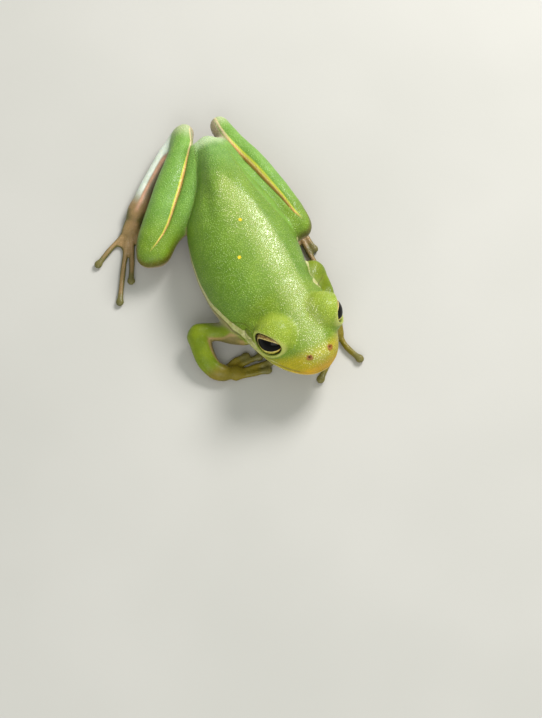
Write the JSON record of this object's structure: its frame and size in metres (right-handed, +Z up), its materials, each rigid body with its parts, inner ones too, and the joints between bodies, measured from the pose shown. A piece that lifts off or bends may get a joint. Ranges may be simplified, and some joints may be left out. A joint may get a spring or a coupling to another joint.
{
  "type": "tree frog",
  "caption": "Life-size still model of a crouching green tree frog, legs folded, head turned a little to its left.",
  "frame": {"origin": "on the floor, under the middle of the whole frog's box", "axes": "-Y the way the frog faces along its back, +X to its left, +Z up"},
  "size_m": [0.0314, 0.0452, 0.0112],
  "materials": {
    "skin_back": "fine-grained moist leaf-green skin with pale gold glints",
    "skin_head": "moist yellow-green skin, orange-yellow at the lip",
    "skin_arm": "moist yellow-green skin, grey-brown beneath",
    "skin_leg": "smooth moist green skin with a yellow and copper edge line",
    "skin_tarsus": "moist skin, white, copper and grey-brown bands",
    "skin_digit": "moist brown-olive skin with grey-olive adhesive discs",
    "eye": "wet, gold iris and black horizontal pupil"
  },
  "bodies": {
    "root": {"eye_left": "eye", "eye_right": "eye", "foot_left": "skin_digit", "foot_right": "skin_digit", "forearm_left": "skin_arm", "forearm_right": "skin_arm", "hand_left": "skin_digit", "hand_right": "skin_digit", "head": "skin_head", "shank_left": "skin_leg", "shank_right": "skin_leg", "tarsus_left": "skin_tarsus", "tarsus_right": "skin_tarsus", "thigh_left": "skin_leg", "thigh_right": "skin_leg", "torso": "skin_back", "upper_arm_left": "skin_arm", "upper_arm_right": "skin_arm"}
  },
  "joints": []
}
